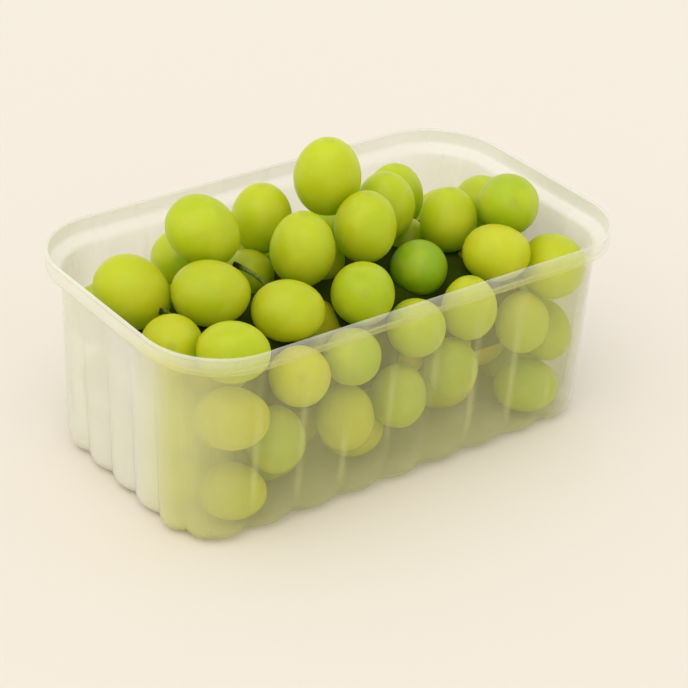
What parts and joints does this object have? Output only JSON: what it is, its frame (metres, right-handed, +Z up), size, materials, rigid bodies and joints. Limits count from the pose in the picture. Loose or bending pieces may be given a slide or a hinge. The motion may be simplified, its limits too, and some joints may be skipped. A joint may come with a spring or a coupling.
{
  "type": "punnet of grapes",
  "caption": "Clear ribbed plastic tray with rounded corners and a plain rim band, heaped above its rim with loose green grapes.",
  "frame": {"origin": "middle of the tray's footprint, on the surface that it stands on", "axes": "+X along the tray, +Z up; the picture shows the -Y side and the -X end"},
  "size_m": [0.16, 0.093, 0.0862],
  "materials": {
    "clear_plastic": "milky clear, glossy",
    "grape": "yellow-green skin with a soft bloom",
    "stalk": "green stalk, matt"
  },
  "bodies": {
    "root": {"tray": "clear_plastic", "grapes": "grape"}
  },
  "joints": []
}
